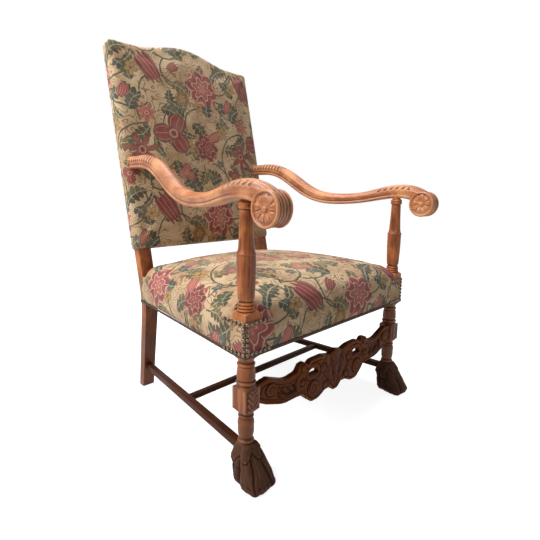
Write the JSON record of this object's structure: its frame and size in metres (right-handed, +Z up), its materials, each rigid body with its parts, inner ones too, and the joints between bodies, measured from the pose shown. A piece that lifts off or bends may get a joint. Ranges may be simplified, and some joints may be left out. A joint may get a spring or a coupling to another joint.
{
  "type": "throne chair",
  "caption": "High-backed upholstered armchair with turned posts, scrolled arms, a carved pierced front stretcher and paw feet, for sitting upright.",
  "frame": {"origin": "on the floor, under the middle of the chair's box", "axes": "+Z up, -Y the way the chair faces, +X to the left hand of someone sitting in it"},
  "size_m": [0.6916, 0.8324, 1.1298],
  "materials": {
    "carved_wood": "waxed",
    "worn_wood": "worn wax",
    "inner_wood": "bare",
    "tapestry": "woven pile",
    "stuffing": "matt",
    "hessian": "coarse weave",
    "webbing": "twill weave",
    "lining": "plain weave",
    "nails": "antique"
  },
  "bodies": {
    "root": {"arm_dowels": "inner_wood", "arm_left": "carved_wood", "arm_right": "carved_wood", "back_bottom_rail": "inner_wood", "back_cover": "tapestry", "back_crest_rail": "inner_wood", "back_hessian": "hessian", "back_outside_panel": "tapestry", "back_stuffing": "stuffing", "back_webbing_level": "webbing", "back_webbing_upright": "webbing", "corner_block_front_left": "inner_wood", "corner_block_front_right": "inner_wood", "corner_block_rear_left": "inner_wood", "corner_block_rear_right": "inner_wood", "cross_stretcher": "carved_wood", "front_post_left": "carved_wood", "front_post_right": "carved_wood", "front_stretcher": "carved_wood", "paw_foot_left": "worn_wood", "paw_foot_right": "worn_wood", "rear_post_left": "carved_wood", "rear_post_right": "carved_wood", "seat_bottom_lining": "lining", "seat_cover": "tapestry", "seat_hessian": "hessian", "seat_rail_back": "inner_wood", "seat_rail_front": "inner_wood", "seat_rail_left": "inner_wood", "seat_rail_right": "inner_wood", "seat_stuffing": "stuffing", "seat_webbing_crosswise": "webbing", "seat_webbing_lengthwise": "webbing", "side_stretcher_left": "carved_wood", "side_stretcher_right": "carved_wood"}
  },
  "joints": []
}
